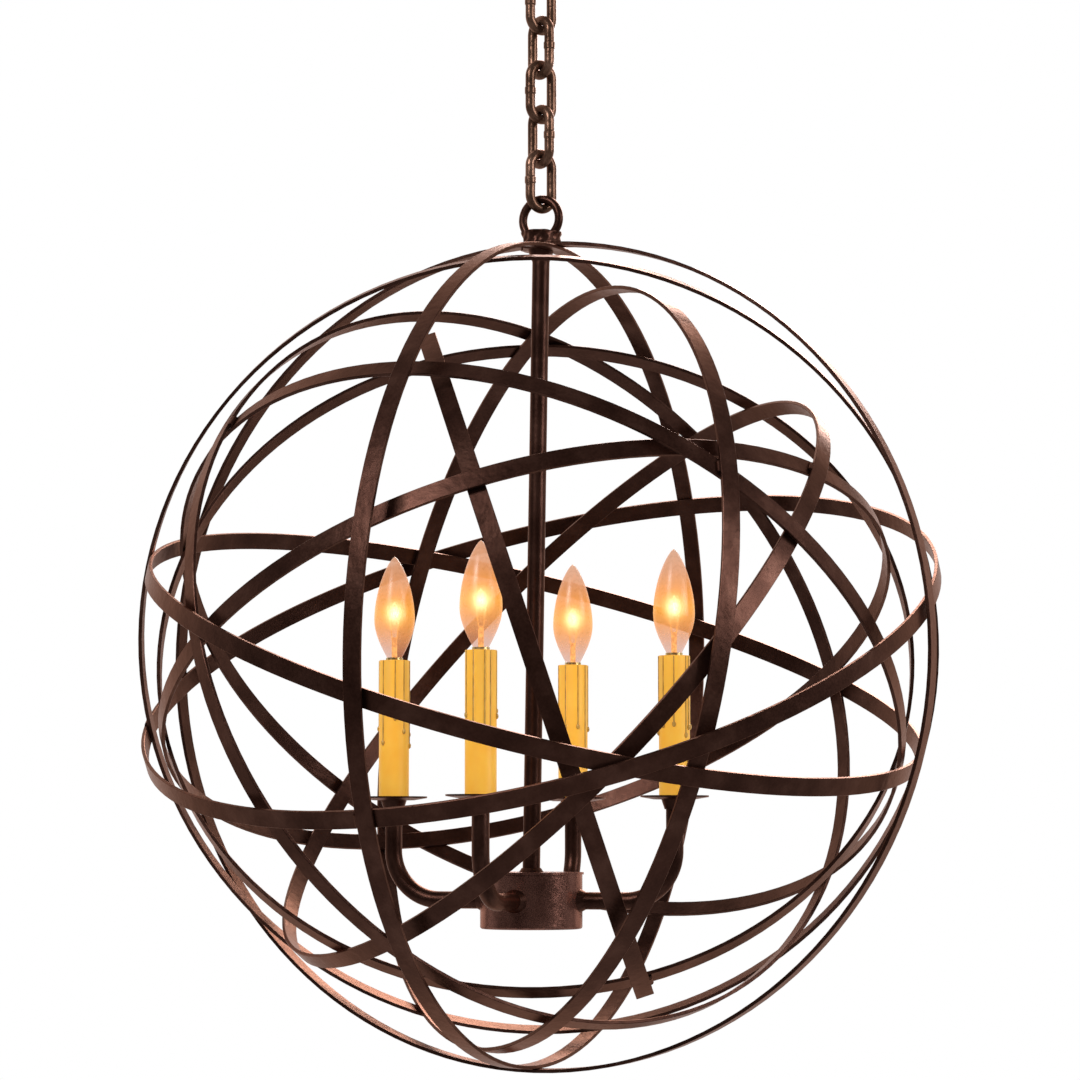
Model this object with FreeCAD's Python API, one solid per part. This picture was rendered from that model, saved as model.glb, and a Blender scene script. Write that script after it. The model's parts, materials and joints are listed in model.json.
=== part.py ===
"""Orb chandelier: a ball of crossed flat-bar hoops on a short chain, four candle lights inside.

Millimetres, +Z up, the viewer on the -Y side. The origin is the centre of the canopy's rim,
on the ceiling. Everything hangs below it, so each height is worked out downwards.
"""
import FreeCAD
import Part
import math
import os

Vector = FreeCAD.Vector
UP = Vector(0, 0, 1)

# canopy and the strap behind it
canopy_diameter = 127.0
canopy_depth = 22.0
canopy_wall = 1.2
canopy_shoulder = 9.0
nipple_diameter = 9.6
nipple_clearance = 0.1
crossbar_width = 20.0
crossbar_thickness = 2.4
screw_spacing = 88.9
slot_width = 5.0
slot_length = 10.0
slot_end_wall = 4.55
ring_nut_diameter = 26.0
ring_nut_height = 6.0

# chain
loop_wire = 6.0
loop_inner_diameter = 12.0
loop_neck = 1.0
link_wire = 7.2
link_length = 48.0
link_width = 27.0
link_weld_length = 6.0
link_weld_swell = 0.5
link_count = 6
link_seat_gap = 0.15
odd_link_angle = 38.0

# the ball
ball_radius = 300.0

# hanging ring and the welds at the top pole
ring_diameter = 36.0
ring_bar = 6.2
ring_angle = -28.0
ring_seat_gap = 0.2
ring_lift = 19.8
boss_bottom_radius = 14.0
boss_top_radius = 12.0
boss_reach = 18.2
boss_rise = 10.0
boss_depth = 3.0
collar_top_radius = 9.8
collar_height = 7.5

# flat bar of the hoops
bar_width = 12.7
bar_thickness = 2.6
bar_chamfer = 0.3
weld_gap = 0.15
weld_bead_radius = 2.2
weld_bead_length = 8.0
weld_gap_largest = 1.0

# each hoop: direction and tilt of its axis in degrees, how far it lies inside the ball, and its
# centre from the ball's centre
hoop_a_azimuth = 155.4
hoop_a_tilt = 88.2
hoop_a_inset = 4.0
hoop_a_x = 2.5
hoop_a_y = -1.0
hoop_a_z = 0.0
hoop_b_azimuth = -155.3
hoop_b_tilt = 80.4
hoop_b_inset = 20.5
hoop_b_x = 0.5
hoop_b_y = -0.5
hoop_b_z = -8.0
hoop_c_azimuth = -54.6
hoop_c_tilt = 68.6
hoop_c_inset = 19.0
hoop_c_x = -4.0
hoop_c_y = 0.5
hoop_c_z = -1.5
hoop_d_azimuth = -122.6
hoop_d_tilt = 25.5
hoop_d_inset = 5.5
hoop_d_x = 0.0
hoop_d_y = -3.0
hoop_d_z = 5.0
hoop_e_azimuth = -47.2
hoop_e_tilt = 20.2
hoop_e_inset = 14.0
hoop_e_x = -4.0
hoop_e_y = -4.5
hoop_e_z = -1.0
hoop_f_azimuth = 121.6
hoop_f_tilt = 29.0
hoop_f_inset = 27.0
hoop_f_x = -8.5
hoop_f_y = 1.5
hoop_f_z = -6.5
hoop_g_azimuth = 58.8
hoop_g_tilt = 42.1
hoop_g_inset = 21.5
hoop_g_x = -4.5
hoop_g_y = -1.0
hoop_g_z = -3.5
hoop_h_azimuth = -91.0
hoop_h_tilt = 61.5
hoop_h_inset = 26.5
hoop_h_x = -5.5
hoop_h_y = 0.0
hoop_h_z = 0.5
hoop_k_azimuth = -157.5
hoop_k_tilt = 49.0
hoop_k_inset = 31.5
hoop_k_x = 6.0
hoop_k_y = -0.5
hoop_k_z = -16.5
hoop_m_azimuth = 65.2
hoop_m_tilt = 89.7
hoop_m_inset = 1.0
hoop_m_x = -3.5
hoop_m_y = -1.5
hoop_m_z = -0.3
hoop_n_azimuth = 87.5
hoop_n_tilt = 72.6
hoop_n_inset = 11.5
hoop_n_x = -4.0
hoop_n_y = -1.5
hoop_n_z = 1.5
strap_azimuth = -1.1
strap_tilt = 71.7
strap_inset = 28.0
strap_x = -4.0
strap_y = 6.0
strap_z = -6.5
strap_start_angle = 32.5
strap_end_angle = 155.0

# stem, hub and arms
stem_diameter = 12.7
stem_wall = 1.5
hub_x = -7.0
hub_top_height = -158.3
hub_diameter = 74.0
hub_height = 40.7
hub_wall = 2.0
hub_lid_overhang = 1.0
hub_lid_thickness = 1.6
hub_edge_radius = 1.5
stem_weld_radius = 9.0
stem_weld_height = 3.0
stem_weld_crest = 0.6
arm_1_angle = -109.0
arm_2_angle = -16.5
arm_3_angle = 73.0
arm_4_angle = 161.0
arm_diameter = 12.5
arm_wall = 1.5
arm_drop = 20.4
light_circle_radius = 107.0
arm_bend_radius = 36.0
arm_weld_radius = 9.5
arm_weld_length = 4.0

# pans, sleeves, sockets and lamps
sleeve_bottom_height = -105.0
pan_diameter = 49.0
pan_thickness = 1.2
pan_rim_rise = 1.6
pan_flat_diameter = 30.0
cup_height = 7.0
cup_top_diameter = 19.0
cup_bottom_diameter = 14.5
sleeve_diameter = 22.2
sleeve_wall = 1.3
sleeve_length = 101.6
socket_diameter = 18.0
socket_height = 34.0
socket_inset = 1.0
socket_floor = 4.0
socket_post_diameter = 9.6
lamp_base_diameter = 12.4
lamp_base_length = 24.0
lamp_base_clearance = 0.1
lamp_base_show = 3.0
lamp_diameter = 30.0
lamp_length = 75.0
lamp_neck_diameter = 11.0
lamp_glass = 0.9
lamp_widest = 0.38
lamp_taper = 1.8
lamp_bluntness = 0.75
lamp_steps = 24
filament_height = 34.0
filament_wire = 0.8
filament_spread = 4.0
filament_rise = 7.0
mount_stem_diameter = 4.0
mount_stem_height = 15.0

crossbar_length = screw_spacing + slot_length + 2 * slot_end_wall

# heights from the ceiling down
loop_ring_radius = (loop_inner_diameter + loop_wire) / 2
loop_centre_z = (-canopy_depth - ring_nut_height - loop_neck - loop_wire / 2 - loop_ring_radius)
loop_bottom_z = loop_centre_z - loop_ring_radius
link_bend = (link_width - link_wire) / 2
link_run = link_length - link_wire
first_link_top_z = loop_bottom_z + (loop_wire + link_wire) / 2 + link_seat_gap
link_pitch = link_run - link_wire - link_seat_gap
last_link_bottom_z = first_link_top_z - (link_count - 1) * link_pitch - link_run
ring_radius = (ring_diameter - ring_bar) / 2
ring_top_z = last_link_bottom_z + (link_wire + ring_bar) / 2 + ring_seat_gap
ring_centre_z = ring_top_z - ring_radius
orb_z = ring_centre_z - ball_radius - ring_lift
boss_top = ball_radius + boss_rise
boss_bottom = ball_radius - boss_depth
orb = Vector(0, 0, orb_z)
hub_top_z = orb_z + hub_top_height
arm_z = hub_top_z - arm_drop
sleeve_bottom_z = orb_z + sleeve_bottom_height
cup_bottom_z = sleeve_bottom_z - pan_thickness - cup_height


def polar(radius, angle, z=0.0):
    """A point at a radius and an angle in degrees round the Z axis."""
    turn = math.radians(angle)
    return Vector(radius * math.cos(turn), radius * math.sin(turn), z)


def largest(shape):
    """The biggest solid of a shape that a cut has left in pieces."""
    return max(shape.Solids, key=lambda solid: solid.Volume)


def revolved(points, centre=Vector(0, 0, 0)):
    """A closed (radius, height) outline turned round the vertical through a centre."""
    corners = [Vector(radius, 0, height) for radius, height in points]
    face = Part.Face(Part.makePolygon(corners + corners[:1]))
    solid = face.revolve(Vector(0, 0, 0), UP, 360)
    solid.translate(centre)
    return solid


def torus(ring, wire, centre, turn, sweep=360.0):
    """A round ring standing upright, its plane turned from the X axis."""
    axis = polar(1, turn + 90)
    return Part.makeTorus(ring, wire, centre, axis, 0, 360, sweep)


# hoops ------------------------------------------------------------------------------------

class Hoop:
    """A flat bar rolled into a circle, or a stretch of one."""

    def __init__(self, name, azimuth, tilt, inset, centre, stretch=None):
        lean = math.radians(tilt)
        self.name = name
        self.axis = polar(math.sin(lean), azimuth, math.cos(lean))
        self.radius = ball_radius - inset
        self.centre = centre
        self.stretch = stretch
        self.high = (UP - self.axis * UP.dot(self.axis)).normalize()
        self.front = self.axis.cross(self.high)
        if self.front.y > 0:
            self.front = self.front * -1

    def inset(self, point):
        """How far a point lies inside the middle of the bar."""
        arm = point - self.centre
        return self.radius - (arm - self.axis * arm.dot(self.axis)).Length

    def reaches(self, point):
        """Whether the bar's stretch passes the point."""
        if self.stretch is None:
            return True
        margin = math.degrees(bar_width / self.radius)
        return self.stretch[0] - margin < self.angle_of(point) < self.stretch[1] + margin

    def angle_of(self, point):
        """A point's angle round the hoop, from its highest place towards the viewer."""
        arm = point - self.centre
        return math.degrees(math.atan2(arm.dot(self.front), arm.dot(self.high)))

    def bar(self, start, sweep):
        """The bar's chamfered section turned round the hoop's axis from a start angle."""
        half = bar_width / 2
        thin = bar_thickness / 2
        edge = bar_chamfer
        section = [(-half, -thin + edge), (-half, thin - edge), (-half + edge, thin),
                   (half - edge, thin), (half, thin - edge), (half, -thin + edge),
                   (half - edge, -thin), (-half + edge, -thin)]
        corners = [self.centre + self.axis * along + self.high * (self.radius + out)
                   for along, out in section]
        face = Part.Face(Part.makePolygon(corners + corners[:1]))
        turn_axis = self.high.cross(self.front)
        face.rotate(self.centre, turn_axis, start)
        return face.revolve(self.centre, turn_axis, sweep)

    def solid(self):
        """The whole bar."""
        if self.stretch is None:
            return self.bar(0, 360)
        start, end = self.stretch
        return self.bar(start, end - start)

    def near(self, point, room):
        """The bar's stretch within some room of a point."""
        middle = self.angle_of(point)
        start = middle - math.degrees(room / self.radius)
        end = middle + math.degrees(room / self.radius)
        if self.stretch is not None:
            start = max(start, self.stretch[0])
            end = min(end, self.stretch[1])
        return self.bar(start, end - start)


class Crossing:
    """Two hoops where they pass each other, seen from the orb's centre."""

    def __init__(self, first, second, side):
        self.first = first
        self.second = second
        self.side = side
        self.lean = first.axis.dot(second.axis)
        self.outward = (first.axis.cross(second.axis)).normalize() * side
        centre_gap = self.gap_at(0, 0)
        self.sign = 1 if centre_gap > 0 else -1

    def point(self, first_offset, second_offset):
        """Where the two bars meet at these distances from their middle lines."""
        start = orb + self.outward * self.first.radius
        spare = 1 - self.lean ** 2
        one = first_offset + self.first.axis.dot(self.first.centre - start)
        two = second_offset + self.second.axis.dot(self.second.centre - start)
        along_first = (one - self.lean * two) / spare
        along_second = (two - self.lean * one) / spare
        return start + self.first.axis * along_first + self.second.axis * along_second

    def gap_at(self, first_offset, second_offset):
        """How far the first bar's middle lies outside the second's."""
        point = self.point(first_offset, second_offset)
        return self.first.inset(point) - self.second.inset(point)

    def clearance(self):
        """The least distance between the two bars over the patch where they cross."""
        half = bar_width / 2
        places = [(0, 0), (half, half), (half, -half), (-half, half), (-half, -half),
                  (half, 0), (-half, 0), (0, half), (0, -half)]
        least = min(self.sign * self.gap_at(one, two) for one, two in places)
        return least - bar_thickness

    def exists(self):
        point = self.point(0, 0)
        return self.first.reaches(point) and self.second.reaches(point)


def crossings(hoops):
    """Every place where two hoops pass."""
    found = []
    for index, first in enumerate(hoops):
        for second in hoops[index + 1:]:
            for side in (1, -1):
                crossing = Crossing(first, second, side)
                if crossing.exists():
                    found.append(crossing)
    return found


def spread(hoops):
    """Ease crossing bars apart, a little of both at a time, until each pair clears."""
    meetings = crossings(hoops)
    for _ in range(400):
        tight = 0
        for crossing in meetings:
            short = weld_gap - crossing.clearance()
            if short <= 0.005:
                continue
            tight += 1
            step = crossing.sign * short / 4
            crossing.first.radius += step
            crossing.second.radius -= step
            crossing.first.centre = crossing.first.centre + crossing.outward * step
            crossing.second.centre = crossing.second.centre - crossing.outward * step
        if tight == 0:
            break
    return meetings


def make_hoops():
    """The eleven hoops and the strap, where the named sizes put them."""
    def place(x, y, z):
        return orb + Vector(x, y, z)

    return [
        Hoop("hoop_a", hoop_a_azimuth, hoop_a_tilt, hoop_a_inset, place(hoop_a_x, hoop_a_y, hoop_a_z)),
        Hoop("hoop_b", hoop_b_azimuth, hoop_b_tilt, hoop_b_inset, place(hoop_b_x, hoop_b_y, hoop_b_z)),
        Hoop("hoop_c", hoop_c_azimuth, hoop_c_tilt, hoop_c_inset, place(hoop_c_x, hoop_c_y, hoop_c_z)),
        Hoop("hoop_d", hoop_d_azimuth, hoop_d_tilt, hoop_d_inset, place(hoop_d_x, hoop_d_y, hoop_d_z)),
        Hoop("hoop_e", hoop_e_azimuth, hoop_e_tilt, hoop_e_inset, place(hoop_e_x, hoop_e_y, hoop_e_z)),
        Hoop("hoop_f", hoop_f_azimuth, hoop_f_tilt, hoop_f_inset, place(hoop_f_x, hoop_f_y, hoop_f_z)),
        Hoop("hoop_g", hoop_g_azimuth, hoop_g_tilt, hoop_g_inset, place(hoop_g_x, hoop_g_y, hoop_g_z)),
        Hoop("hoop_h", hoop_h_azimuth, hoop_h_tilt, hoop_h_inset, place(hoop_h_x, hoop_h_y, hoop_h_z)),
        Hoop("hoop_k", hoop_k_azimuth, hoop_k_tilt, hoop_k_inset, place(hoop_k_x, hoop_k_y, hoop_k_z)),
        Hoop("hoop_m", hoop_m_azimuth, hoop_m_tilt, hoop_m_inset, place(hoop_m_x, hoop_m_y, hoop_m_z)),
        Hoop("hoop_n", hoop_n_azimuth, hoop_n_tilt, hoop_n_inset, place(hoop_n_x, hoop_n_y, hoop_n_z)),
        Hoop("front_strap", strap_azimuth, strap_tilt, strap_inset, place(strap_x, strap_y, strap_z),
             (strap_start_angle, strap_end_angle)),
    ]


def weld_spot(crossing, side):
    """The middle of a weld: on the outer bar's edge, where it meets the inner bar's face."""
    outer = crossing.first if crossing.sign > 0 else crossing.second
    offset = side * bar_width / 2
    middle = crossing.point(offset, 0) if outer is crossing.first else crossing.point(0, offset)
    outward = (middle - outer.centre).normalize()
    away = outer.axis * (1 if outer.axis.dot(middle - outer.centre) > 0 else -1)
    middle = middle + outward * (outer.inset(middle) - bar_thickness / 2) + away * weld_gap
    return middle, outer.axis.cross(outward).normalize()


def weld_bead(middle, run):
    """A short round run of weld."""
    start = middle - run * (weld_bead_length / 2)
    return Part.makeCylinder(weld_bead_radius, weld_bead_length, start, run)


def passes(hoop, point, reach):
    """Whether a hoop's bar comes within reach of a point."""
    off_plane = abs(hoop.axis.dot(point - hoop.centre))
    near_plane = off_plane < bar_width / 2 + reach
    return near_plane and abs(hoop.inset(point)) < bar_thickness + reach and hoop.reaches(point)


def bars_near(hoops, point, reach):
    """The stretches of all bars that come within reach of a point."""
    return [hoop.near(point, reach * 4) for hoop in hoops if passes(hoop, point, reach)]


def weld_beads(meetings, hoops):
    """The welds of every crossing whose bars touch, cut to the bars they sit on."""
    beads = []
    middles = []
    room = weld_bead_length + 4 * weld_bead_radius
    for crossing in meetings:
        if crossing.clearance() > weld_gap_largest:
            continue
        for side in (1, -1):
            middle, run = weld_spot(crossing, side)
            at_pole = math.hypot(middle.x, middle.y) < boss_bottom_radius + room and middle.z > orb_z
            if at_pole or any((middle - other).Length < room for other in middles):
                continue
            bead = weld_bead(middle, run)
            for bar in bars_near(hoops, middle, weld_bead_length):
                bead = bead.cut(bar)
            beads.append(largest(bead))
            middles.append(middle)
    return Part.makeCompound(beads)


# ceiling end and chain --------------------------------------------------------------------

def canopy():
    """A pressed cup with a rolled shoulder and a hole for the loop's shank."""
    rim = canopy_diameter / 2
    hole = nipple_diameter / 2 + nipple_clearance
    rounded = canopy_shoulder
    mid = rounded * (1 - math.cos(math.pi / 4))
    outside = [(rim, 0), (rim, -canopy_depth + rounded), (rim - mid, -canopy_depth + mid),
               (rim - rounded, -canopy_depth), (hole, -canopy_depth)]
    wall = canopy_wall
    inside = [(hole, -canopy_depth + wall), (rim - rounded - wall / 3, -canopy_depth + wall),
              (rim - mid - wall, -canopy_depth + mid + wall / 2),
              (rim - wall, -canopy_depth + rounded + wall / 3), (rim - wall, 0)]
    return revolved(outside + inside)


def crossbar():
    """The strap that screws to the ceiling box and takes the loop's shank."""
    bar = Part.makeBox(crossbar_length, crossbar_width, crossbar_thickness,
                       Vector(-crossbar_length / 2, -crossbar_width / 2, -crossbar_thickness))
    radius = nipple_diameter / 2 + nipple_clearance
    bar = bar.cut(Part.makeCylinder(radius, crossbar_thickness, Vector(0, 0, -crossbar_thickness)))
    straight = slot_length - slot_width
    for side in (1, -1):
        middle = Vector(side * screw_spacing / 2, 0, -crossbar_thickness)
        slot = Part.makeBox(straight, slot_width, crossbar_thickness,
                            middle - Vector(straight / 2, slot_width / 2, 0))
        for end in (1, -1):
            tip = middle + Vector(end * straight / 2, 0, 0)
            slot = slot.fuse(Part.makeCylinder(slot_width / 2, crossbar_thickness, tip))
        bar = bar.cut(slot)
    return bar


def ring_nut():
    """The round nut that clamps the canopy."""
    inner = nipple_diameter / 2 + nipple_clearance
    outer = ring_nut_diameter / 2
    bevel = ring_nut_height / 4
    top = -canopy_depth
    low = top - ring_nut_height
    return revolved([(inner, top), (outer, top), (outer, low + bevel), (outer - bevel, low), (inner, low)])


def canopy_loop():
    """A closed eye on a threaded shank."""
    eye = torus(loop_ring_radius, loop_wire / 2, Vector(0, 0, loop_centre_z), odd_link_angle)
    foot = loop_centre_z + loop_ring_radius
    shank = Part.makeCylinder(nipple_diameter / 2, -foot, Vector(0, 0, foot))
    return eye.fuse(shank)


def chain_link(top_z, turn):
    """One welded link: two round bends, two legs, and the swell of its weld on the nearer leg."""
    wire = link_wire / 2
    straight = link_run - 2 * link_bend
    high = Vector(0, 0, top_z - link_bend)
    low = Vector(0, 0, high.z - straight)
    side = polar(link_bend, turn)
    corner = Vector(-link_width, -link_width, 0)
    link = torus(link_bend, wire, high, turn)
    link = link.common(Part.makeBox(2 * link_width, 2 * link_width, link_width, corner + high))
    bottom = torus(link_bend, wire, low, turn)
    bottom = bottom.common(Part.makeBox(2 * link_width, 2 * link_width, link_width,
                                        corner + low - UP * link_width))
    pieces = [bottom]
    for leg in (side, side * -1):
        pieces.append(Part.makeCylinder(wire, straight, low + leg))
    swell = wire + link_weld_swell
    near_side = side if side.y < 0 else side * -1
    weld_middle = (high + low) * 0.5 + near_side
    shoulder = link_weld_swell * 2
    outline = [(0, -link_weld_length / 2), (wire, -link_weld_length / 2),
               (swell, -link_weld_length / 2 + shoulder), (swell, link_weld_length / 2 - shoulder),
               (wire, link_weld_length / 2), (0, link_weld_length / 2)]
    pieces.append(revolved(outline, weld_middle))
    return link.multiFuse(pieces).removeSplitter()


def hang_ring():
    """The welded ring that hangs in the last link."""
    return torus(ring_radius, ring_bar / 2, Vector(0, 0, ring_centre_z), ring_angle)


# orb middle -------------------------------------------------------------------------------

def pole_bars(hoops):
    """The stretches of the bars that cross at the top pole."""
    pole = Vector(0, 0, orb_z + (boss_top + boss_bottom) / 2)
    return bars_near(hoops, pole, boss_reach)


def hang_boss(ring, bars):
    """The block of weld that joins the ring to the hoops at the top pole."""
    height = boss_top - boss_bottom
    foot = Vector(0, 0, orb_z + boss_bottom)
    block = Part.makeCone(boss_bottom_radius, boss_top_radius, height, foot).cut(ring)
    for bar in bars:
        block = block.cut(bar)
    return largest(block)


def collar_foot(bars):
    """Where the stem ends: a collar's height below the lowest bar at the pole."""
    probe = Part.makeCylinder(stem_diameter / 2, boss_bottom_radius * 4,
                              Vector(0, 0, orb_z + boss_bottom - boss_bottom_radius * 2))
    crossed = [bar.common(probe) for bar in bars]
    return min(piece.BoundBox.ZMin for piece in crossed if piece.Solids) - collar_height


def stem_collar(foot_z, bars, boss):
    """The flared weld between the stem and the underside of the hoops."""
    height = orb_z + boss_bottom - foot_z
    cone = Part.makeCone(stem_diameter / 2, collar_top_radius, height, Vector(0, 0, foot_z)).cut(boss)
    for bar in bars:
        cone = cone.cut(bar)
    return largest(cone)


def stem(top_z):
    """The leaning tube from the collar down to the hub."""
    top = Vector(0, 0, top_z)
    bottom = Vector(hub_x, 0, hub_top_z)
    along = (top - bottom).normalize()
    spare = along * stem_diameter
    length = (top - bottom).Length + 2 * stem_diameter
    outer = Part.makeCylinder(stem_diameter / 2, length, bottom - spare, along)
    inner = Part.makeCylinder(stem_diameter / 2 - stem_wall, length, bottom - spare, along)
    reach = stem_diameter * 2
    keep = Part.makeBox(reach * 2, reach * 2, top_z - hub_top_z, Vector(-reach, -reach, hub_top_z))
    return outer.cut(inner).common(keep)


def stem_weld(top_z):
    """The weld round the foot of the stem."""
    foot = Vector(hub_x, 0, hub_top_z)
    top_radius = stem_diameter / 2 + stem_weld_crest
    cone = Part.makeCone(stem_weld_radius, top_radius, stem_weld_height, foot)
    along = (Vector(0, 0, top_z) - foot).normalize()
    start = foot - along * stem_diameter
    return cone.cut(Part.makeCylinder(stem_diameter / 2, stem_diameter * 2, start, along))


def hub_lid():
    """The flat disc on top of the hub."""
    return Part.makeCylinder(hub_diameter / 2 + hub_lid_overhang, hub_lid_thickness,
                             Vector(hub_x, 0, hub_top_z - hub_lid_thickness))


def hub_shell():
    """The drum under the lid, with a wiring hole behind each arm."""
    radius = hub_diameter / 2
    top = hub_top_z - hub_lid_thickness
    low = hub_top_z - hub_height
    edge = hub_edge_radius
    outline = [(0, low), (radius - edge, low), (radius - edge * 0.3, low + edge * 0.3),
               (radius, low + edge), (radius, top), (radius - hub_wall, top),
               (radius - hub_wall, low + hub_wall), (0, low + hub_wall)]
    drum = revolved(outline, Vector(hub_x, 0, 0))
    for angle in arm_angles():
        start = Vector(hub_x, 0, arm_z)
        drum = drum.cut(Part.makeCylinder(arm_diameter / 2 - arm_wall, radius + 1, start, polar(1, angle)))
    return drum


def arm_angles():
    return [arm_1_angle, arm_2_angle, arm_3_angle, arm_4_angle]


def light_centre(angle, z=0.0):
    return Vector(hub_x, 0, 0) + polar(light_circle_radius, angle, z)


def ring_face(radius, bore, centre, axis):
    """A flat disc, with a hole in it where a bore is given."""
    disc = Part.Face(Part.Wire(Part.makeCircle(radius, centre, axis)))
    if bore == 0:
        return disc
    return disc.cut(Part.Face(Part.Wire(Part.makeCircle(bore, centre, axis)))).Faces[0]


def arm_rod(radius, bore=0.0):
    """A round rod or tube along an arm's path: out along X, round the bend and up to the cup."""
    along = Vector(1, 0, 0)
    bend_start = light_circle_radius - arm_bend_radius
    inside = hub_diameter / 4
    run = ring_face(radius, bore, Vector(inside, 0, arm_z), along).extrude(along * (bend_start - inside))
    bend_centre = Vector(bend_start, 0, arm_z + arm_bend_radius)
    bend = ring_face(radius, bore, Vector(bend_start, 0, arm_z), along)
    bend = bend.revolve(bend_centre, Vector(0, -1, 0), 90)
    riser = ring_face(radius, bore, Vector(light_circle_radius, 0, bend_centre.z), UP)
    riser = riser.extrude(UP * (cup_bottom_z - bend_centre.z))
    return run.multiFuse([bend, riser]).removeSplitter()


def hub_outside():
    return Part.makeCylinder(hub_diameter / 2, hub_height, Vector(0, 0, hub_top_z - hub_height))


def turned(shape, angle):
    """A copy of a shape made along X, turned to an arm's angle round the hub."""
    copy = shape.copy()
    copy.rotate(Vector(0, 0, 0), UP, angle)
    copy.translate(Vector(hub_x, 0, 0))
    return copy


def arm(angle):
    """A bent tube, cut to the hub's wall."""
    tube = arm_rod(arm_diameter / 2, arm_diameter / 2 - arm_wall)
    return turned(largest(tube.cut(hub_outside())), angle)


def arm_weld(angle):
    """The ring of weld where an arm meets the hub."""
    foot = Vector(hub_diameter / 2 - arm_weld_length / 2, 0, arm_z)
    cone = Part.makeCone(arm_weld_radius, arm_diameter / 2, arm_weld_length * 1.5, foot, Vector(1, 0, 0))
    return turned(largest(cone.cut(arm_rod(arm_diameter / 2)).cut(hub_outside())), angle)


def pan(angle):
    """A shallow drip pan with a hole for the socket's post."""
    rim = pan_diameter / 2
    flat = pan_flat_diameter / 2
    hole = socket_post_diameter / 2
    base = sleeve_bottom_z - pan_thickness
    outline = [(hole, base), (flat, base), (rim, base + pan_rim_rise),
               (rim, base + pan_rim_rise + pan_thickness), (flat, sleeve_bottom_z),
               (hole, sleeve_bottom_z)]
    return revolved(outline, light_centre(angle))


def cup(angle):
    """The small cone nut that carries the pan on the arm."""
    top = sleeve_bottom_z - pan_thickness
    hole = socket_post_diameter / 2
    outline = [(hole, cup_bottom_z), (cup_bottom_diameter / 2, cup_bottom_z), (cup_top_diameter / 2, top),
               (hole, top)]
    return revolved(outline, light_centre(angle))


def sleeve(angle):
    """The candle sleeve."""
    outer = sleeve_diameter / 2
    inner = outer - sleeve_wall
    top = sleeve_bottom_z + sleeve_length
    outline = [(inner, sleeve_bottom_z), (outer, sleeve_bottom_z), (outer, top), (inner, top)]
    return revolved(outline, light_centre(angle))


def socket_top():
    return sleeve_bottom_z + sleeve_length - socket_inset


def socket(angle):
    """The lamp holder inside a sleeve, on its post."""
    top = socket_top()
    low = top - socket_height
    bore = lamp_base_diameter / 2 + lamp_base_clearance
    post = socket_post_diameter / 2
    outline = [(0, cup_bottom_z), (post, cup_bottom_z), (post, low), (socket_diameter / 2, low),
               (socket_diameter / 2, top), (bore, top), (bore, top - lamp_base_depth()),
               (0, top - lamp_base_depth())]
    return revolved(outline, light_centre(angle))


def lamp_base_depth():
    return lamp_base_length - lamp_base_show


def lamp_base(angle):
    """The screw base of a lamp, resting on the holder's floor."""
    low = socket_top() - lamp_base_depth()
    radius = lamp_base_diameter / 2
    top = low + lamp_base_length
    tip = radius / 3
    outline = [(0, low), (tip, low), (radius, low + tip), (radius, top), (0, top)]
    return revolved(outline, light_centre(angle))


def lamp_bottom_z():
    return socket_top() + lamp_base_show


def flame_radius(radius, neck, share):
    """A flame bulb's radius at a share of its height: swelling from the neck, then closing to the tip."""
    if share < lamp_widest:
        return neck + (radius - neck) * math.sin(math.pi / 2 * share / lamp_widest)
    rise = (share - lamp_widest) / (1 - lamp_widest)
    return radius * (1 - rise ** lamp_taper) ** lamp_bluntness


def lamp_glass_shell(angle):
    """A frosted flame-shaped bulb, hollow and open at the neck."""
    foot = lamp_bottom_z()
    neck = lamp_neck_diameter / 2
    radius = lamp_diameter / 2
    shares = [index / lamp_steps for index in range(lamp_steps + 1)]
    outside = [(flame_radius(radius, neck, share), foot + lamp_length * share) for share in shares]
    inner_length = lamp_length - 1.5 * lamp_glass
    inside = [(flame_radius(radius - lamp_glass, neck - lamp_glass, share), foot + inner_length * share)
              for share in reversed(shares)]
    return revolved(outside + inside, light_centre(angle))


def filament(angle):
    """A short glass stem with two posts and the coil across them."""
    z = lamp_bottom_z()
    body = Part.makeCylinder(mount_stem_diameter / 2, mount_stem_height, Vector(0, 0, z))
    wire = filament_wire / 2
    post_foot = z + mount_stem_height / 2
    top = z + filament_height
    parts = []
    for side in (1, -1):
        foot = Vector(side * mount_stem_diameter / 4, 0, post_foot)
        head = Vector(side * filament_spread, 0, top)
        parts.append(Part.makeCylinder(wire, (head - foot).Length, foot, head - foot))
        peak = Vector(0, 0, top + filament_rise)
        parts.append(Part.makeCylinder(wire, (peak - head).Length, head, peak - head))
        parts.append(Part.makeSphere(wire, head))
    parts.append(Part.makeSphere(wire, Vector(0, 0, top + filament_rise)))
    coil = body.multiFuse(parts)
    coil.translate(light_centre(angle))
    return coil


# build ------------------------------------------------------------------------------------

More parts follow.
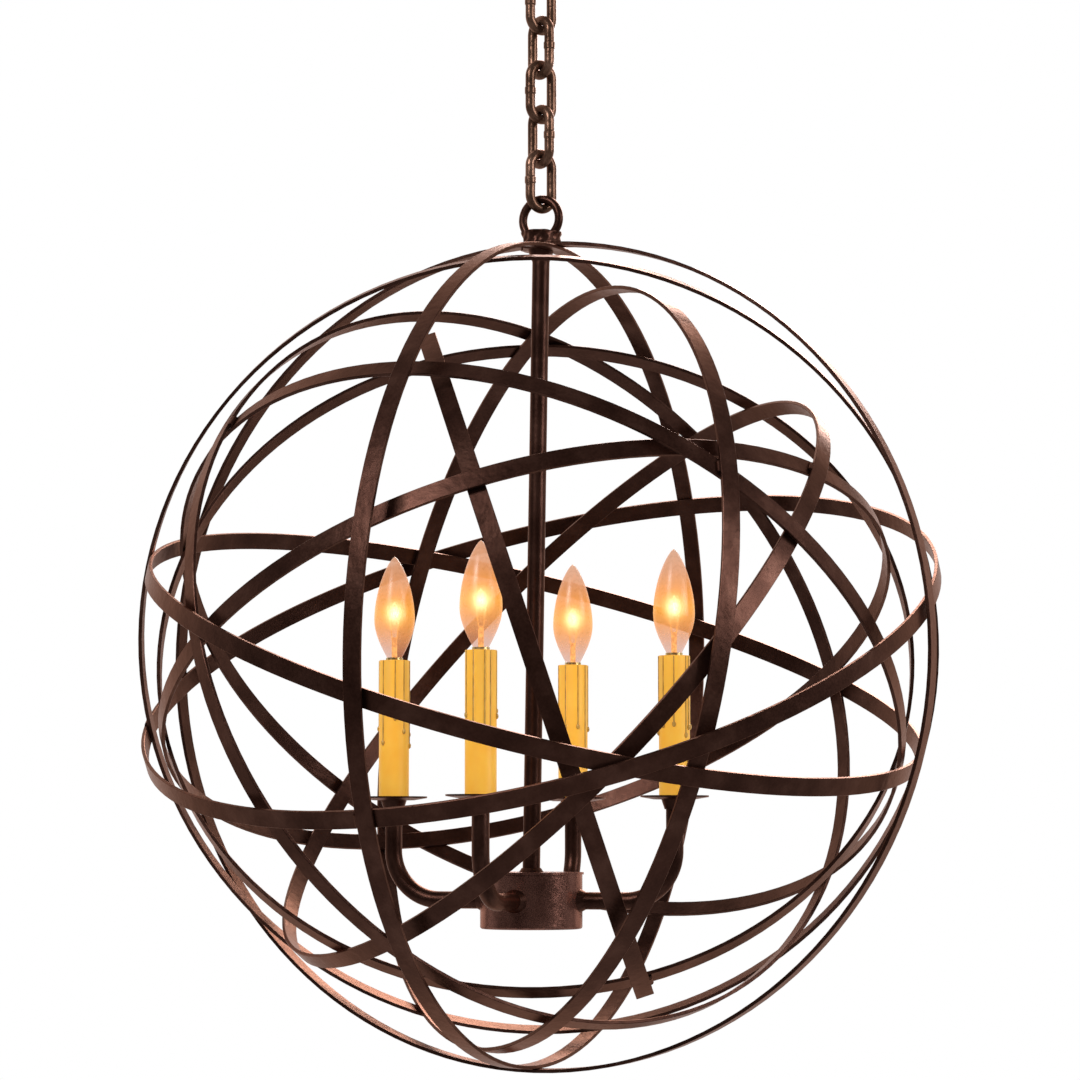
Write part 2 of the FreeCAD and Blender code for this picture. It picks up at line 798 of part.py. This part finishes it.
def build():
    """Every piece by its node's name."""
    pieces = {"canopy": canopy(), "crossbar": crossbar(), "ring_nut": ring_nut(),
              "canopy_loop": canopy_loop()}
    for index in range(link_count):
        number = link_count - index
        turn = odd_link_angle if number % 2 else odd_link_angle - 90
        pieces["chain_link_%d" % number] = chain_link(first_link_top_z - index * link_pitch, turn)
    hoops = make_hoops()
    meetings = spread(hoops)
    for hoop in hoops:
        pieces[hoop.name] = hoop.solid()
    pieces["weld_beads"] = weld_beads(meetings, hoops)
    pieces["hang_ring"] = hang_ring()
    bars = pole_bars(hoops)
    pieces["hang_boss"] = hang_boss(pieces["hang_ring"], bars)
    top_z = collar_foot(bars)
    pieces["stem_collar"] = stem_collar(top_z, bars, pieces["hang_boss"])
    pieces["stem"] = stem(top_z)
    pieces["stem_weld"] = stem_weld(top_z)
    pieces["hub_lid"] = hub_lid()
    pieces["hub_shell"] = hub_shell()
    angles = arm_angles()
    pieces["arm_welds"] = Part.makeCompound([arm_weld(angle) for angle in angles])
    pieces["pan_cups"] = Part.makeCompound([cup(angle) for angle in angles])
    pieces["filaments"] = Part.makeCompound([filament(angle) for angle in angles])
    for number, angle in enumerate(angles, 1):
        pieces["arm_%d" % number] = arm(angle)
        pieces["pan_%d" % number] = pan(angle)
        pieces["sleeve_%d" % number] = sleeve(angle)
        pieces["socket_%d" % number] = socket(angle)
        pieces["lamp_base_%d" % number] = lamp_base(angle)
        pieces["lamp_glass_%d" % number] = lamp_glass_shell(angle)
    return pieces


os.makedirs("parts", exist_ok=True)
for name, shape in build().items():
    shape.exportStep("parts/%s.step" % name)
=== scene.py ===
"""Looks of the orb chandelier: bronze bars, chain, amber candle sleeves and lit frosted bulbs.

Metres, +Z up, the viewer on the -Y side. Places are read from the frame's own nodes.
"""
import json
import math

import bmesh
import bpy
from mathutils import Matrix, Vector

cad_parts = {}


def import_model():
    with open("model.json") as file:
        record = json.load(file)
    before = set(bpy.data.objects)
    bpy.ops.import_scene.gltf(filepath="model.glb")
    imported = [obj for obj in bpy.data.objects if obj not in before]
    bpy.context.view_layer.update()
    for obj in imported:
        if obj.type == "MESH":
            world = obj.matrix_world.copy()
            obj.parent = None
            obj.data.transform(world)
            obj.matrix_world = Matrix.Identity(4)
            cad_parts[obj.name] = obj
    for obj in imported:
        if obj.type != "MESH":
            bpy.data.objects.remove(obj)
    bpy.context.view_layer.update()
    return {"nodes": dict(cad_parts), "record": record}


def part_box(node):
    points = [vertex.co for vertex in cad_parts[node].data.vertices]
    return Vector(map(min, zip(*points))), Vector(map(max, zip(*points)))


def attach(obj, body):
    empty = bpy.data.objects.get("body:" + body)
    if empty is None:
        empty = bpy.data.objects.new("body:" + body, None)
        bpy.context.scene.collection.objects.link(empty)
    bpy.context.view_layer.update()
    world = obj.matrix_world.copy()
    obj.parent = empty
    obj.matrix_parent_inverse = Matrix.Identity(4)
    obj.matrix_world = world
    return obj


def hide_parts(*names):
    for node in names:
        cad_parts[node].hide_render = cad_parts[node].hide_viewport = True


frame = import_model()

ARMS = 4
BODY = "orb"

# camera, worked out from the photograph
EYE_LEFT = 0.0007
EYE_DISTANCE = 2.344
EYE_BELOW_ORB = 0.130
AIM_ABOVE_ORB = 0.083
FOCAL_MM = 107.5
SENSOR_MM = 36.0

# stage and light
FLOOR_BELOW_ORB = 1.9
FLOOR_SIZE = 14.0
WORLD_LIGHT = 0.30
FRONT_GLOSS = 0.10
FLOOR_LIFT = 0.42

# brown bronze: noise scales per metre, and depths in metres
BRONZE_CLOUDS = 38.0
BRONZE_GRAIN = 620.0
BRONZE_DENTS = 150.0
BRONZE_GRAIN_DEPTH = 0.00003
BRONZE_SPECKLE = 0.15
BRONZE_TINT = (1.0, 0.62, 0.50)

# drips down a sleeve: angle in degrees, length and half width in metres
DRIPS = ((-75, 0.052, 0.0008), (-105, 0.060, 0.0009), (-48, 0.047, 0.0007), (-140, 0.050, 0.0008),
         (-12, 0.044, 0.0007), (35, 0.056, 0.0008), (82, 0.048, 0.0007), (128, 0.058, 0.0009),
         (170, 0.046, 0.0008))
DRIP_ROWS = 14
DRIP_COLUMNS = 6
DRIP_WIDTH = 0.001
DRIP_SINK = 0.0001
DRIP_TOP_GAP = 0.0004
DROP_RADIUS = 0.0017
DROP_STRETCH = 1.45

# candle sleeve: where its streaks start above its foot and are full below its top
STREAKS_START = 0.045
STREAKS_FULL = 0.01
# painted glow of a sleeve: its emission strength at the foot and at the top
SLEEVE_GLOW_LOW = 0.25
SLEEVE_GLOW_HIGH = 0.36

# weld under the ring
WELD_ROWS = 14
WELD_TURNS = 72
WELD_WAIST = 0.10
WELD_LUMP = 0.07

# bulbs: metres, heights above a glass's foot
BULB_NECK = 0.0055
BULB_WIDEST = 0.38
BULB_TIP_BEND = 1.8
BULB_TIP_FULLNESS = 0.75
BULB_ROWS = 48
BULB_TURNS = 48
GLOW_HEIGHT = 0.033
GLOW_SHELLS = 7
GLOW_RADIUS = 0.0102
GLOW_STRETCH = 1.25
GLOW_SHRINK = 1.1
GLOW_ROWS = 14
GLOW_TURNS = 24
GLOW_OUTER = 2.6
GLOW_INNER = 9.1
BULB_REACH = 0.041
BULB_SEAM = 0.002
BULB_NECK_ALPHA = 0.40
BULB_ALPHA = 0.74
FILAMENT_WARM = 0.6

ORB_NODES = [name for name in frame["nodes"] if name.startswith("hoop_")]


def middle(node):
    """The middle of a node's box at rest."""
    low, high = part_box(node)
    return (Vector(low) + Vector(high)) / 2


def orb_centre():
    """The middle of the cage, from the hoops' own boxes."""
    lows = [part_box(name)[0] for name in ORB_NODES]
    highs = [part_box(name)[1] for name in ORB_NODES]
    low = min(corner[2] for corner in lows)
    high = max(corner[2] for corner in highs)
    return Vector((0.0, 0.0, (low + high) / 2))


# materials --------------------------------------------------------------------------------

def new_material(name):
    """A material, its node tree and its shader."""
    material = bpy.data.materials.new(name)
    material.use_nodes = True
    tree = material.node_tree
    shader = tree.nodes["Principled BSDF"]
    return material, tree, shader


def local_noise(tree, scale, detail=4.0, roughness=0.55, stretch=(1, 1, 1)):
    """Noise in the piece's own coordinates."""
    coordinates = tree.nodes.new("ShaderNodeTexCoord")
    mapping = tree.nodes.new("ShaderNodeMapping")
    mapping.inputs["Scale"].default_value = stretch
    noise = tree.nodes.new("ShaderNodeTexNoise")
    noise.inputs["Scale"].default_value = scale
    noise.inputs["Detail"].default_value = detail
    noise.inputs["Roughness"].default_value = roughness
    tree.links.new(coordinates.outputs["Object"], mapping.inputs["Vector"])
    tree.links.new(mapping.outputs["Vector"], noise.inputs["Vector"])
    return noise.outputs["Fac"]


def ramp(tree, value, stops):
    """A colour ramp with (place, colour) stops."""
    node = tree.nodes.new("ShaderNodeValToRGB")
    elements = node.color_ramp.elements
    while len(elements) < len(stops):
        elements.new(0.5)
    for element, (place, colour) in zip(elements, stops):
        element.position = place
        element.color = (*colour, 1.0)
    tree.links.new(value, node.inputs["Fac"])
    return node.outputs["Color"]


def spread_value(tree, value, low, high, out_low, out_high):
    """A socket's range carried to another range, and held at its ends."""
    node = tree.nodes.new("ShaderNodeMapRange")
    node.inputs["From Min"].default_value = low
    node.inputs["From Max"].default_value = high
    node.inputs["To Min"].default_value = out_low
    node.inputs["To Max"].default_value = out_high
    tree.links.new(value, node.inputs["Value"])
    return node.outputs["Result"]


def mixed(tree, share, first, second):
    """Two colours mixed by a share, which may be a socket or a number."""
    node = tree.nodes.new("ShaderNodeMix")
    node.data_type = "RGBA"
    factor, a, b = node.inputs[0], node.inputs[6], node.inputs[7]
    for socket, value in ((factor, share), (a, first), (b, second)):
        if isinstance(value, bpy.types.NodeSocket):
            tree.links.new(value, socket)
        elif isinstance(value, (int, float)):
            socket.default_value = value
        else:
            socket.default_value = (*value, 1.0)
    return node.outputs[2]


def blend(tree, share, first, second):
    """Two numbers or sockets mixed by a socket."""
    node = tree.nodes.new("ShaderNodeMix")
    tree.links.new(share, node.inputs["Factor"])
    for socket, value in ((node.inputs["A"], first), (node.inputs["B"], second)):
        if isinstance(value, bpy.types.NodeSocket):
            tree.links.new(value, socket)
        else:
            socket.default_value = value
    return node.outputs["Result"]


def arithmetic(tree, operation, first, second):
    """A math operation on two numbers or sockets."""
    node = tree.nodes.new("ShaderNodeMath")
    node.operation = operation
    for socket, value in zip(node.inputs, (first, second)):
        if isinstance(value, bpy.types.NodeSocket):
            tree.links.new(value, socket)
        else:
            socket.default_value = value
    return node.outputs[0]


def larger(tree, first, second):
    """The larger of two numbers or sockets."""
    return arithmetic(tree, "MAXIMUM", first, second)


def axis_value(tree, axis, source="Object"):
    """X, Y or Z of a piece's own coordinates, or of a view direction in the world."""
    coordinates = tree.nodes.new("ShaderNodeTexCoord")
    split = tree.nodes.new("ShaderNodeSeparateXYZ")
    tree.links.new(coordinates.outputs[source], split.inputs["Vector"])
    return split.outputs[axis]


def bump(tree, shader, height, distance, strength=1.0, before=None):
    """Relief from a height, on top of an earlier relief where one is given."""
    node = tree.nodes.new("ShaderNodeBump")
    node.inputs["Distance"].default_value = distance
    node.inputs["Strength"].default_value = strength
    tree.links.new(height, node.inputs["Height"])
    if before is not None:
        tree.links.new(before, node.inputs["Normal"])
    tree.links.new(node.outputs["Normal"], shader.inputs["Normal"])
    return node.outputs["Normal"]


def bronze(name, dark, mid, light, roughness, hammer):
    """Brown bronze: cloudy colour, fine grain and a softly hammered surface."""
    material, tree, shader = new_material(name)
    clouds = local_noise(tree, BRONZE_CLOUDS, 5.0, 0.6)
    grain = local_noise(tree, BRONZE_GRAIN, 3.0, 0.6)
    base = ramp(tree, clouds, ((0.3, dark), (0.5, mid), (0.72, light)))
    specks = spread_value(tree, grain, 0.35, 0.7, 0.0, 1.0)
    speckled = mixed(tree, specks, dark, light)
    tree.links.new(mixed(tree, BRONZE_SPECKLE, base, speckled), shader.inputs["Base Color"])
    tree.links.new(spread_value(tree, grain, 0.3, 0.7, roughness - 0.04, roughness + 0.07),
                   shader.inputs["Roughness"])
    shader.inputs["Metallic"].default_value = 0.75
    shader.inputs["Specular Tint"].default_value = (*BRONZE_TINT, 1.0)
    shader.inputs["Specular IOR Level"].default_value = 0.35
    dents = local_noise(tree, BRONZE_DENTS, 2.0, 0.5)
    hammered = bump(tree, shader, dents, hammer)
    bump(tree, shader, grain, BRONZE_GRAIN_DEPTH, 0.6, hammered)
    return material


def sleeve_material():
    """Amber candle wax, streaked down from the top, with a little painted glow in it that stands in for the
    bulb's light and grows towards the top.
    """
    material, tree, shader = new_material("amber_wax")
    streaks = local_noise(tree, 150.0, 2.0, 0.5, (1, 1, 0.03))
    clouds = local_noise(tree, 45.0, 4.0, 0.5)
    base = ramp(tree, clouds, ((0.35, (0.95, 0.43, 0.04)), (0.65, (1.0, 0.52, 0.065))))
    height = axis_value(tree, "Z")
    low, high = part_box("sleeve_1")
    up = spread_value(tree, height, low[2] + STREAKS_START, high[2] - STREAKS_FULL, 0.0, 0.75)
    share = spread_value(tree, streaks, 0.42, 0.62, 0.0, 1.0)
    streaked = mixed(tree, share, base, (0.70, 0.40, 0.09))
    tree.links.new(mixed(tree, up, base, streaked), shader.inputs["Base Color"])
    shader.inputs["Roughness"].default_value = 0.42
    shader.inputs["Specular IOR Level"].default_value = 0.4
    shader.inputs["Subsurface Weight"].default_value = 0.12
    shader.inputs["Subsurface Radius"].default_value = (0.004, 0.002, 0.0006)
    # painted glow: the wax emits amber light, a little stronger towards its top, standing in for the bulb's
    # light on the sleeve
    shader.inputs["Emission Color"].default_value = (1.0, 0.52, 0.05, 1.0)
    painted_bulb_glow = spread_value(tree, height, low[2], high[2], SLEEVE_GLOW_LOW, SLEEVE_GLOW_HIGH)
    tree.links.new(painted_bulb_glow, shader.inputs["Emission Strength"])
    bump(tree, shader, streaks, 0.00012)
    return material


def drip_material():
    """Darker, glossier wax of the runs."""
    material, tree, shader = new_material("amber_drips")
    clouds = local_noise(tree, 160.0, 3.0, 0.5)
    tree.links.new(ramp(tree, clouds, ((0.3, (0.60, 0.32, 0.06)), (0.7, (0.82, 0.47, 0.09)))),
                   shader.inputs["Base Color"])
    shader.inputs["Roughness"].default_value = 0.25
    bump(tree, shader, clouds, 0.0002)
    return material


def bulb_material():
    """Peach frosted glass, lit from within."""
    material, tree, shader = new_material("frosted_peach_glass")
    frost = local_noise(tree, 300.0, 4.0, 0.6)
    away = arithmetic(tree, "SUBTRACT", axis_value(tree, "Z"), GLOW_HEIGHT)
    distance = arithmetic(tree, "ABSOLUTE", away, 0.0)
    far = spread_value(tree, distance, 0.0, BULB_REACH, 0.0, 1.0)
    above = ramp(tree, far, ((0.0, (0.78, 0.33, 0.02)), (0.30, (0.66, 0.24, 0.02)),
                             (0.62, (0.50, 0.22, 0.09)), (1.0, (0.44, 0.26, 0.17))))
    below = ramp(tree, far, ((0.0, (0.78, 0.33, 0.02)), (0.30, (0.62, 0.25, 0.05)),
                             (0.75, (0.38, 0.17, 0.10)), (1.0, (0.32, 0.15, 0.10))))
    upper = spread_value(tree, away, -BULB_SEAM, BULB_SEAM, 0.0, 1.0)
    tree.links.new(mixed(tree, upper, below, above), shader.inputs["Emission Color"])
    shader.inputs["Emission Strength"].default_value = 1.0
    tree.links.new(ramp(tree, frost, ((0.3, (0.31, 0.14, 0.08)), (0.7, (0.38, 0.18, 0.10)))),
                   shader.inputs["Base Color"])
    tree.links.new(spread_value(tree, frost, 0.3, 0.7, 0.22, 0.4), shader.inputs["Roughness"])
    body = spread_value(tree, away, -GLOW_HEIGHT, -GLOW_RADIUS, BULB_NECK_ALPHA, BULB_ALPHA)
    tree.links.new(body, shader.inputs["Alpha"])
    bump(tree, shader, frost, 0.00006)
    return material


def glow_material(index):
    """One thin shell of the light round the filament: whiter and denser towards the middle."""
    share = index / (GLOW_SHELLS - 1)
    material, tree, shader = new_material("glow_shell_%d" % index)
    waver = local_noise(tree, 90.0, 2.0, 0.4)
    outer = (1.0, 0.58, 0.14)
    inner = (1.0, 0.95, 0.74)
    colour = tuple(a + (b - a) * share for a, b in zip(outer, inner))
    edge = tuple(value * 0.92 for value in colour)
    tree.links.new(ramp(tree, waver, ((0.3, edge), (0.7, colour))), shader.inputs["Emission Color"])
    shader.inputs["Emission Strength"].default_value = GLOW_OUTER + (GLOW_INNER - GLOW_OUTER) * share
    shader.inputs["Base Color"].default_value = (0.0, 0.0, 0.0, 1.0)
    shader.inputs["Specular IOR Level"].default_value = 0.0
    shader.inputs["Alpha"].default_value = 0.09 + 0.55 * share ** 1.6
    return material


def brass_material():
    """Worn brass of the lamps' screw bases."""
    material, tree, shader = new_material("lamp_brass")
    wear = local_noise(tree, 300.0, 4.0, 0.6)
    tree.links.new(ramp(tree, wear, ((0.3, (0.62, 0.42, 0.16)), (0.7, (0.85, 0.65, 0.32)))),
                   shader.inputs["Base Color"])
    tree.links.new(spread_value(tree, wear, 0.3, 0.7, 0.2, 0.4), shader.inputs["Roughness"])
    shader.inputs["Metallic"].default_value = 1.0
    bump(tree, shader, wear, 0.00005)
    return material


def plain_material(name, dark, light, roughness, metallic=0.0):
    """A plain finish with a little grain."""
    material, tree, shader = new_material(name)
    grain = local_noise(tree, 400.0, 3.0, 0.5)
    tree.links.new(ramp(tree, grain, ((0.3, dark), (0.7, light))), shader.inputs["Base Color"])
    tree.links.new(spread_value(tree, grain, 0.3, 0.7, roughness - 0.06, roughness + 0.06),
                   shader.inputs["Roughness"])
    shader.inputs["Metallic"].default_value = metallic
    bump(tree, shader, grain, 0.00004)
    return material


def filament_material():
    """Lit filament on a warm mount, whose dim glow below the coil is painted light."""
    material, tree, shader = new_material("filament_glow")
    uneven = local_noise(tree, 500.0, 2.0, 0.5)
    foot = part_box("lamp_glass_1")[0][2]
    warm = foot + FILAMENT_WARM * GLOW_HEIGHT
    hot = spread_value(tree, axis_value(tree, "Z"), warm, foot + GLOW_HEIGHT, 0.0, 1.0)
    # painted glow: below the hot coil the mount emits a dim warm light, standing in for the filament's
    # light on it
    painted_mount_glow = ramp(tree, uneven, ((0.35, (0.18, 0.065, 0.012)), (0.65, (0.50, 0.24, 0.05))))
    tree.links.new(mixed(tree, hot, painted_mount_glow, (1.0, 0.80, 0.45)), shader.inputs["Emission Color"])
    shader.inputs["Emission Strength"].default_value = 3.0
    shader.inputs["Base Color"].default_value = (0.55, 0.30, 0.14, 1.0)
    return material


def paint(node, material):
    """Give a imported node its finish."""
    mesh = frame["nodes"][node].data
    mesh.materials.clear()
    mesh.materials.append(material)


# meshes -----------------------------------------------------------------------------------

def add_object(name, mesh, material, place):
    """A new piece that rides with the ball."""
    mesh.materials.append(material)
    piece = bpy.data.objects.new(name, mesh)
    bpy.context.scene.collection.objects.link(piece)
    piece.location = place
    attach(piece, BODY)
    return piece


def lathe(name, outline, turns):
    """A smooth mesh turned from (radius, height) points."""
    build = bmesh.new()
    rings = []
    for radius, height in outline:
        if radius < 1e-6:
            rings.append([build.verts.new((0, 0, height))])
            continue
        angles = [2 * math.pi * step / turns for step in range(turns)]
        rings.append([build.verts.new((radius * math.cos(angle), radius * math.sin(angle), height))
                      for angle in angles])
    for low, high in zip(rings, rings[1:]):
        for step in range(turns):
            after = (step + 1) % turns
            corners = [low[step % len(low)], low[after % len(low)], high[after % len(high)],
                       high[step % len(high)]]
            unique = list(dict.fromkeys(corners))
            if len(unique) > 2:
                build.faces.new(unique)
    bmesh.ops.recalc_face_normals(build, faces=build.faces)
    mesh = bpy.data.meshes.new(name)
    build.to_mesh(mesh)
    build.free()
    mesh.polygons.foreach_set("use_smooth", [True] * len(mesh.polygons))
    return mesh


def flame_radius(radius, neck, share):
    """A flame bulb's radius at a share of its height."""
    if share < BULB_WIDEST:
        return neck + (radius - neck) * math.sin(math.pi / 2 * share / BULB_WIDEST)
    rise = (share - BULB_WIDEST) / (1 - BULB_WIDEST)
    return radius * (1 - rise ** BULB_TIP_BEND) ** BULB_TIP_FULLNESS


def bulb(number, material):
    """The frosted flame bulb, closed at its neck."""
    low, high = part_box("lamp_glass_%d" % number)
    length = high[2] - low[2]
    radius = (high[0] - low[0]) / 2
    shares = [index / BULB_ROWS for index in range(BULB_ROWS + 1)]
    outside = [(flame_radius(radius, BULB_NECK, share), length * share) for share in shares]
    mesh = lathe("bulb_%d" % number, [(0, 0)] + outside, BULB_TURNS)
    centre = middle("lamp_glass_%d" % number)
    piece = add_object("bulb_%d" % number, mesh, material, (centre.x, centre.y, low[2]))
    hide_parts("lamp_glass_%d" % number)


def glow(number, materials):
    """Nested shells of light round the filament."""
    low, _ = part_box("lamp_glass_%d" % number)
    centre = middle("lamp_glass_%d" % number)
    for index, material in enumerate(materials):
        size = GLOW_RADIUS * (1 - index / GLOW_SHELLS) ** GLOW_SHRINK
        turns = [math.pi * row / GLOW_ROWS for row in range(GLOW_ROWS + 1)]
        outline = [(size * math.sin(turn), -GLOW_STRETCH * size * math.cos(turn)) for turn in turns]
        mesh = lathe("glow_%d_%d" % (number, index), outline, GLOW_TURNS)
        add_object("glow_%d_%d" % (number, index), mesh, material,
                   (centre.x, centre.y, low[2] + GLOW_HEIGHT))


def drip_section(build, radius, angle, top, length, width):
    """A run of wax down the sleeve with a hanging drop at its end."""
    grid = []
    for row in range(DRIP_ROWS + 1):
        share = row / DRIP_ROWS
        half = width * (0.65 + 0.35 * share)
        line = []
        for column in range(DRIP_COLUMNS + 1):
            side = column / DRIP_COLUMNS * 2 - 1
            turn = angle + side * half / radius
            out = radius + width * 0.9 * math.sqrt(max(0.0, 1 - side * side)) - DRIP_SINK
            line.append(build.verts.new((out * math.cos(turn), out * math.sin(turn), top - length * share)))
        grid.append(line)
    for first, second in zip(grid, grid[1:]):
        for column in range(DRIP_COLUMNS):
            build.faces.new((first[column], first[column + 1], second[column + 1], second[column]))
    drop = Vector((radius * math.cos(angle), radius * math.sin(angle), top - length))
    stretch = Matrix.Diagonal((1.0, 1.0, DROP_STRETCH, 1.0))
    size = DROP_RADIUS * (0.8 + 0.125 * width / DRIP_WIDTH)
    bmesh.ops.create_uvsphere(build, u_segments=14, v_segments=10, radius=size,
                              matrix=Matrix.Translation(drop) @ stretch)


def drips(number, material):
    """All the wax runs of one sleeve, turned and stretched a little differently on each."""
    low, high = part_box("sleeve_%d" % number)
    radius = (high[0] - low[0]) / 2
    build = bmesh.new()
    for index, (angle, length, width) in enumerate(DRIPS):
        shift = 23 * number + 7 * ((index * number) % 3)
        change = 1 + 0.08 * math.sin(2.1 * index + 1.7 * number)
        turn = math.radians(angle + shift)
        drip_section(build, radius, turn, high[2] - low[2] - DRIP_TOP_GAP, length * change, width)
    mesh = bpy.data.meshes.new("drips_%d" % number)
    build.to_mesh(mesh)
    build.free()
    mesh.polygons.foreach_set("use_smooth", [True] * len(mesh.polygons))
    centre = middle("sleeve_%d" % number)
    add_object("drips_%d" % number, mesh, material, (centre.x, centre.y, low[2]))


def boss_weld(material):
    """Weld heaped in lumps round the block under the ring: a waisted block and three waves."""
    low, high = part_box("hang_boss")
    radius = (high[0] - low[0]) / 2
    height = high[2] - low[2]
    shares = [row / WELD_ROWS for row in range(WELD_ROWS + 1)]
    outline = [(radius * (1 - WELD_WAIST * math.sin(math.pi * share)), height * share) for share in shares]
    mesh = lathe("boss_weld", [(0, 0)] + outline + [(0, height)], WELD_TURNS)
    for vertex in mesh.vertices:
        turn = math.atan2(vertex.co.y, vertex.co.x)
        up = vertex.co.z / height
        lump = math.sin(3 * turn + 1.1)
        lump += 0.6 * math.sin(7 * turn + 5 * up)
        lump += 0.4 * math.sin(11 * turn - 9 * up)
        vertex.co.x *= 1 + WELD_LUMP * (1 + lump)
        vertex.co.y *= 1 + WELD_LUMP * (1 + lump)
    centre = middle("hang_boss")
    piece = add_object("boss_weld", mesh, material, (centre.x, centre.y, low[2]))
    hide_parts("hang_boss")


# stage ------------------------------------------------------------------------------------

def floor(centre):
    """A wide pale floor well below the cage, lifted to a pale tone where it is seen."""
    bpy.ops.mesh.primitive_plane_add(size=FLOOR_SIZE, location=(0, 0, centre.z - FLOOR_BELOW_ORB))
    plane = bpy.context.object
    plane.name = "floor"
    material, tree, shader = new_material("pale_floor")
    grain = local_noise(tree, 6.0, 2.0, 0.4)
    tree.links.new(ramp(tree, grain, ((0.0, (0.60, 0.60, 0.60)), (1.0, (0.64, 0.64, 0.64)))),
                   shader.inputs["Base Color"])
    shader.inputs["Roughness"].default_value = 0.8
    shader.inputs["Emission Color"].default_value = (1.0, 1.0, 1.0, 1.0)
    behind = spread_value(tree, axis_value(tree, "Y"), -0.5, 1.0, FRONT_GLOSS, 1.0)
    path = tree.nodes.new("ShaderNodeLightPath")
    seen = larger(tree, path.outputs["Is Camera Ray"], path.outputs["Is Transmission Ray"])
    mirrored = arithmetic(tree, "MULTIPLY", path.outputs["Is Glossy Ray"], behind)
    lifted = arithmetic(tree, "MULTIPLY", larger(tree, seen, mirrored), FLOOR_LIFT)
    tree.links.new(lifted, shader.inputs["Emission Strength"])
    plane.data.materials.append(material)


def world():
    """Plain soft light, and white where the camera sees past the object.

    Glossy rays find the white behind the object and a darker room in front of it.
    """
    scene_world = bpy.data.worlds.new("studio")
    bpy.context.scene.world = scene_world
    scene_world.use_nodes = True
    tree = scene_world.node_tree
    background = tree.nodes["Background"]
    background.inputs["Color"].default_value = (1.0, 1.0, 1.0, 1.0)
    path = tree.nodes.new("ShaderNodeLightPath")
    backdrop = spread_value(tree, axis_value(tree, "Y", "Generated"), -0.2, 0.5, FRONT_GLOSS, 1.0)
    glossy = blend(tree, path.outputs["Is Glossy Ray"], WORLD_LIGHT, backdrop)
    seen = larger(tree, path.outputs["Is Camera Ray"], path.outputs["Is Transmission Ray"])
    tree.links.new(blend(tree, seen, glossy, 1.0), background.inputs["Strength"])


def lamp(name, place, aim, size, power):
    """A square soft light, its size in metres and its power in watts."""
    data = bpy.data.lights.new(name, "AREA")
    data.shape = "SQUARE"
    data.size = size
    data.energy = power
    piece = bpy.data.objects.new(name, data)
    bpy.context.scene.collection.objects.link(piece)
    piece.location = place
    piece.rotation_euler = (Vector(aim) - Vector(place)).to_track_quat("-Z", "Y").to_euler()


def camera(centre):
    """The photograph's view, from slightly below the ball's middle."""
    data = bpy.data.cameras.new("camera")
    data.lens = FOCAL_MM
    data.sensor_width = SENSOR_MM
    data.sensor_fit = "HORIZONTAL"
    piece = bpy.data.objects.new("camera", data)
    bpy.context.scene.collection.objects.link(piece)
    piece.location = centre + Vector((-EYE_LEFT, -EYE_DISTANCE, -EYE_BELOW_ORB))
    aim = centre + Vector((-EYE_LEFT, 0, AIM_ABOVE_ORB))
    piece.rotation_euler = (aim - piece.location).to_track_quat("-Z", "Y").to_euler()
    bpy.context.scene.camera = piece


# dress ------------------------------------------------------------------------------------

finishes = {
    "bronze_bar": bronze("bronze_bar", (0.024, 0.0088, 0.006), (0.043, 0.017, 0.0118),
                         (0.080, 0.036, 0.026), 0.32, 0.00022),
    # the hub's bronze is the bars' bronze painted about five times lighter: a painted sheen standing in for
    # the broad highlights on its body
    "bronze_hub": bronze("bronze_hub", (0.12, 0.050, 0.038), (0.21, 0.093, 0.072),
                         (0.33, 0.155, 0.118), 0.24, 0.00030),
    "bronze_chain": bronze("bronze_chain", (0.05, 0.023, 0.0135), (0.115, 0.060, 0.039),
                           (0.23, 0.129, 0.090), 0.30, 0.0006),
    "zinc_steel": plain_material("zinc_steel", (0.42, 0.42, 0.40), (0.6, 0.6, 0.57), 0.34, 1.0),
    "candle_sleeve": sleeve_material(),
    "socket_body": plain_material("black_holder", (0.012, 0.012, 0.012), (0.03, 0.03, 0.03), 0.5),
    "lamp_brass": brass_material(),
    "lamp_glass": bulb_material(),
    "filament": filament_material(),
}
for part in frame["record"]["subparts"]:
    paint(part["node"], finishes[part["material_slot"]])

wax = drip_material()
shells = [glow_material(index) for index in range(GLOW_SHELLS)]
for number in range(1, ARMS + 1):
    bulb(number, finishes["lamp_glass"])
    glow(number, shells)
    drips(number, wax)

boss_weld(finishes["bronze_bar"])

orb = orb_centre()
floor(orb)
world()
lamp("key", (-1.8, -2.4, orb.z + 2.0), orb, 1.3, 78)
lamp("fill", (2.6, -1.2, orb.z + 0.8), orb, 1.3, 44)
lamp("rim", (0.6, 2.6, orb.z + 1.6), orb, 1.4, 62)
camera(orb)
bpy.context.scene.view_settings.view_transform = "Standard"
